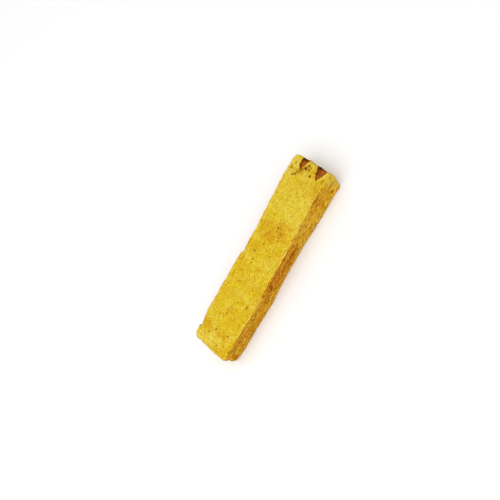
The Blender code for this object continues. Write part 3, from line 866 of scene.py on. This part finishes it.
SPLIT_COATS = (
    (OCHRE, None, 1.00, "ochre_field", 0.36, 0.62),
    (AMBER, None, 0.70, "amber_streak", 0.48, 0.64),
    (RED_BROWN, None, 0.70, "red_streak", 0.53, 0.70),
    (STRAW, "pale", 0.85),
    (RUST, "warm", 0.60, "mottle", 0.30, 0.65, 0.90),
    (RED_BROWN, None, 0.30, "rings", 0.55, 1.0),
    (DARK_RUST, "calm", 0.75, "grain", 0.46, 0.30),
    (STRAW, None, 0.60, "grain", 0.53, 0.68),
    (DARK_RUST, "calm", 0.90, "fleck", 0.46, 0.30),
    (STRAW, None, 0.75, "fleck", 0.54, 0.70),
    (RUST, "warm", 0.60),
    (DARK_RUST, None, 0.25, "speckle", 0.50, 0.28),
)
END_COATS = (
    (END_DARK, None, 0.85, "end_cloud", 0.34, 0.66),
    (END_DARK, None, 0.35, "rings", 0.55, 1.0),
    (BROWN, None, 0.70, "end_pore", 0.44, 0.32),
    (LIP, None, 0.30, "end_stroke", 0.50, 0.70),
    (LIP, None, 0.40, "end_fleck", 0.56, 0.70),
)
GRAIN_COATS = (
    (OLIVE, "bevel", 0.95, "fleck", 0.34, 0.56, 0.45),
    (DARK_RUST, "rough", 0.62, "chop", 0.48, 0.28),
    (CHAFF, "rough", 0.52, "chop", 0.53, 0.72),
    (CHAFF, "rough_pale", 0.60, "chop", 0.48, 0.62),
    (DARK_RUST, "rough", 0.55, "grit", 0.48, 0.30),
    (CHAFF, "rough", 0.50, "grit", 0.52, 0.70),
)
MARK_COATS = (
    # Painted shade in the hollows of the relief
    (BROWN, None, 0.50, "hollow_shade", 0.35, 0.95),
    (BROWN, None, 0.18, "hair", 0.46, 0.30),
    (PALE, None, 0.22, "hair", 0.54, 0.72),
    # Wear and a painted highlight on the arrises where they face up, and a painted highlight on the gouges'
    # lips
    (WORN_AND_HIGHLIGHT, "worn_and_highlight_gaps", 1.00, "worn_and_highlight", 0.25, 0.85),
    (BROWN, None, 0.60, "pore", 0.08, 0.45),
    (UMBER, None, 0.95, "pore", 0.35, 0.85),
)
RESIN_COATS = (
    (RESIN_LIGHT, None, 1.00, "fleck", 0.42, 0.66),
    (RESIN_DARK, None, 0.70, "speckle", 0.46, 0.30),
    (RESIN_PINK, None, 0.50, "speckle", 0.60, 0.74),
    (RESIN_PINK, "pale", 0.90, "speckle", 0.34, 0.56, 0.30),
    # Dark resin, and painted shade at the gouges' deep mouths and along their walls
    (RESIN_DARK, "dark", 1.00, "speckle", 0.64, 0.44, 0.60),
    (RESIN_DARK, "rim", 0.45),
)
FIBRE_COATS = (
    (LIGHT_OCHRE, None, 1.00, "patch", 0.34, 0.66),
    (BROWN, None, 0.60, "strand", 0.50, 0.30),
    (LIP, None, 0.60, "strand", 0.52, 0.72),
)
DARK_MOST = 0.95
# What the shares that hold coats back are made of: how much calmer the split face's grain is where it is
# pale and where there are clouds, how much less rough the left face is, where the worn arrises and their
# painted highlight have gaps, the rim of the resin, and how soon resin takes over
PALE_CALM = 0.6
CLOUD_CALM = (0.62, 0.42, 0.30, 1.0)
LEFT_SMOOTH = 0.6
WORN_AND_HIGHLIGHT_GAPS = (0.34, 0.54, 0.40, 1.0)
RIM_BEGIN = (0.20, 0.50)
RIM_OVER = (0.98, 0.70)
RESIN_SPREAD = (0.15, 0.50)

# Dry, matt wood: its gloss, and its roughness in the troughs and on the crests of the fibres
SPECULAR = 0.03
ROUGHNESS = (0.80, 0.97)
FIBRE_SPAN = (0.3, 0.7)
# The fine relief that is left to bump: what it is made of, and its strength and depth in each material
BUMP_SPECKLE = 0.7
BUMP_HAIR = 0.8
WOOD_BUMP = (0.6, 0.12)
FIBRE_BUMP = (0.5, 0.05)


class Nodes:
    """Builds a material's nodes with few words. fields holds its noises and shares by name."""

    def __init__(self, name, noises):
        self.material = bpy.data.materials.new(name)
        self.material.use_nodes = True
        self.tree = self.material.node_tree
        self.shader = self.tree.nodes["Principled BSDF"]
        self.coordinates = self.add("ShaderNodeTexCoord").outputs["Object"]
        self.fields = {noise_name: self.noise(*how) for noise_name, how in noises.items()}

    def add(self, kind, **settings):
        node = self.tree.nodes.new(kind)
        for name, value in settings.items():
            setattr(node, name, value)
        return node

    def put(self, socket, value):
        """Links a socket to another one, or sets its value."""
        if isinstance(value, bpy.types.NodeSocket):
            self.tree.links.new(value, socket)
        elif value is not None:
            socket.default_value = value

    def place(self, scale, turn=0.0, centre=(0.0, 0.0, 0.0)):
        """The place on the stick from centre, turned about Z, then divided by scale along each axis."""
        node = self.add("ShaderNodeMapping", vector_type="TEXTURE")
        self.put(node.inputs["Vector"], self.coordinates)
        node.inputs["Location"].default_value = [c * MM for c in centre]
        node.inputs["Rotation"].default_value = (0, 0, turn)
        node.inputs["Scale"].default_value = [s * MM for s in scale]
        return node.outputs["Vector"]

    def noise(self, size, detail, rough, warp=0.0, turn=0.0):
        node = self.add("ShaderNodeTexNoise")
        self.put(node.inputs["Vector"], self.place(size, turn))
        settings = {"Scale": 1.0, "Detail": detail, "Roughness": rough, "Distortion": warp}
        for name, value in settings.items():
            node.inputs[name].default_value = value
        return node.outputs["Fac"]

    def rings(self):
        """The year rings: waves from 0 to 1 round a pith that lies outside the stick."""
        away = self.add("ShaderNodeVectorMath", operation="LENGTH")
        self.put(away.inputs[0], self.place((RING_STRETCH, 1, 1), centre=PITH))
        wander = self.math("MULTIPLY", self.fields["ring_wander"], RING_WANDER)
        phase = self.math("MULTIPLY_ADD", away.outputs["Value"], 2 * math.pi / RING_SPACING, wander)
        return self.math("MULTIPLY_ADD", self.math("SINE", phase), 0.5, 0.5)

    def range(self, value, low, high, to_low=0.0, to_high=1.0):
        """to_low below low, to_high above high, smooth between them. low may be the higher one."""
        node = self.add("ShaderNodeMapRange", interpolation_type="SMOOTHSTEP")
        self.put(node.inputs["Value"], value)
        for name, number in zip(("From Min", "From Max", "To Min", "To Max"), (low, high, to_low, to_high)):
            node.inputs[name].default_value = number
        return node.outputs["Result"]

    def math(self, operation, a, b=None, c=None):
        node = self.add("ShaderNodeMath", operation=operation)
        for socket, value in zip(node.inputs, (a, b, c)):
            self.put(socket, value)
        return node.outputs["Value"]

    def mix(self, share, under, over):
        """The colour over, laid on the colour under by a share."""
        node = self.add("ShaderNodeMix", data_type="RGBA")
        self.put(node.inputs["Factor"], share)
        for socket, value in zip([s for s in node.inputs if s.type == "RGBA"], (under, over)):
            self.put(socket, value)
        return next(s for s in node.outputs if s.type == "RGBA")

    def coat(self, base, tint, held_by, most, spread_by=None, low=0.0, high=1.0, least=0.0):
        """One row of a table of coats, laid on base."""
        share = self.range(self.fields[spread_by], low, high, least, most) if spread_by else most
        if held_by:
            share = self.math("MULTIPLY", self.fields[held_by], share)
        return self.mix(share, base, tint)

    def coats(self, base, table):
        for row in table:
            base = self.coat(base, *row)
        return base

    def read_channels(self):
        """Adds what the mesh stores to the fields."""
        for name, channels in CHANNELS.items():
            node = self.add("ShaderNodeAttribute", attribute_name=name)
            split = self.add("ShaderNodeSeparateColor")
            self.put(split.inputs["Color"], node.outputs["Color"])
            self.fields.update(zip(channels, (*split.outputs, node.outputs["Alpha"])))

    def finish(self, base, fibres, height, strength, depth):
        """Dry wood of this colour. height is its relief, which is depth high."""
        self.put(self.shader.inputs["Base Color"], base)
        self.put(self.shader.inputs["Roughness"], self.range(fibres, *FIBRE_SPAN, *ROUGHNESS))
        self.shader.inputs["Specular IOR Level"].default_value = SPECULAR
        bump = self.add("ShaderNodeBump")
        bump.inputs["Strength"].default_value = strength
        bump.inputs["Distance"].default_value = depth * MM
        self.put(bump.inputs["Height"], height)
        self.put(self.shader.inputs["Normal"], bump.outputs["Normal"])
        return self.material


def wood():
    """Raw palo santo: bright yellow where it is sawn, ochre and streaked where it is split."""
    n = Nodes("palo_santo_raw", WOOD_NOISES)
    n.read_channels()
    at = n.fields
    at["rings"] = n.rings()
    away_from_pale = n.math("MULTIPLY_ADD", at["pale"], -PALE_CALM, 1.0)
    at["calm"] = n.math("MULTIPLY", away_from_pale, n.range(at["cloud"], *CLOUD_CALM))
    at["rough"] = n.math("MULTIPLY_ADD", at["left"], -LEFT_SMOOTH, at["side"])
    at["rough_pale"] = n.math("MULTIPLY", at["rough"], at["pale"])
    at["worn_and_highlight_gaps"] = n.range(at["worn_and_highlight_gap"], *WORN_AND_HIGHLIGHT_GAPS)
    at["rim"] = n.math("MULTIPLY", n.range(at["gouge"], *RIM_BEGIN), n.range(at["gouge"], *RIM_OVER))

    base = n.mix(at["side"], n.coats(YELLOW, SAWN_COATS), n.coats(LIGHT_OCHRE, SPLIT_COATS))
    base = n.mix(at["end"], base, n.coats(END_LIGHT, END_COATS))
    base = n.coats(base, GRAIN_COATS)
    # Dark stains, and in the gouges dark resin and painted shade
    base = n.mix(n.math("MULTIPLY", at["dark"], DARK_MOST), base, n.mix(at["side"], BROWN, DARK_RUST))
    base = n.coats(base, MARK_COATS)
    base = n.mix(n.range(at["gouge"], *RESIN_SPREAD), base, n.coats(RESIN, RESIN_COATS))

    hairs = n.math("MULTIPLY", at["hair"], BUMP_HAIR)
    height = n.math("ADD", n.math("MULTIPLY", at["speckle"], BUMP_SPECKLE), hairs)
    return n.finish(base, at["hair"], height, *WOOD_BUMP)


def fibre_wood():
    """The same wood in thin fibres, with paler and darker strands."""
    n = Nodes("palo_santo_fibres", FIBRE_NOISES)
    strand = n.fields["strand"]
    return n.finish(n.coats(OCHRE, FIBRE_COATS), strand, strand, *FIBRE_BUMP)


def make_floor():
    """A pale floor far larger than the stick."""
    mesh = bpy.data.meshes.new("floor")
    half = FLOOR_HALF * MM
    corners = [(x, y, 0) for x, y in ((-half, -half), (half, -half), (half, half), (-half, half))]
    mesh.from_pydata(corners, [], [(0, 1, 2, 3)])
    floor = bpy.data.objects.new("floor", mesh)
    bpy.context.scene.collection.objects.link(floor)
    material = bpy.data.materials.new("pale_floor")
    material.use_nodes = True
    shader = material.node_tree.nodes["Principled BSDF"]
    shader.inputs["Base Color"].default_value = colour(FLOOR_SHADE, FLOOR_SHADE, FLOOR_SHADE)
    shader.inputs["Roughness"].default_value = FLOOR_ROUGH
    mesh.materials.append(material)


def area_light(name, place, size, power):
    """A square light that faces the stick."""
    light = bpy.data.lights.new(name, "AREA")
    light.shape = "SQUARE"
    light.size = size
    light.energy = power
    lamp = bpy.data.objects.new(name, light)
    lamp.location = place
    lamp.rotation_euler = (-Vector(place)).to_track_quat("-Z", "Y").to_euler()
    bpy.context.scene.collection.objects.link(lamp)


def light_scene():
    world = bpy.data.worlds.new("studio")
    world.use_nodes = True
    background = world.node_tree.nodes["Background"]
    background.inputs["Color"].default_value = (1, 1, 1, 1)
    background.inputs["Strength"].default_value = WORLD_STRENGTH
    bpy.context.scene.world = world
    for light in LIGHTS:
        area_light(*light)


def make_camera():
    """The camera of the photograph: over the middle of the stick, aimed past it, and rolled."""
    flat = math.cos(ELEVATION)
    back = Vector((math.sin(AZIMUTH) * flat, -math.cos(AZIMUTH) * flat, math.sin(ELEVATION)))
    level = Vector((math.cos(AZIMUTH), math.sin(AZIMUTH), 0))
    upright = back.cross(level)
    right = level * math.cos(ROLL) - upright * math.sin(ROLL)
    up = level * math.sin(ROLL) + upright * math.cos(ROLL)
    data = bpy.data.cameras.new("camera")
    data.lens = LENS
    data.clip_start = CLIP_START * MM
    camera = bpy.data.objects.new("camera", data)
    turn = Matrix((right, up, back)).transposed().to_4x4()
    camera.matrix_world = Matrix.Translation((Vector(AIM) + back * DISTANCE) * MM) @ turn
    bpy.context.scene.collection.objects.link(camera)
    bpy.context.scene.camera = camera


stick = build_stick()
stick.data.materials.append(wood())
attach(stick, "root")
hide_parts(STICK)

splinters = build_splinters(stick)
splinters.data.materials.append(fibre_wood())
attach(splinters, "root")

make_floor()
light_scene()
make_camera()
bpy.context.scene.view_settings.view_transform = "Standard"
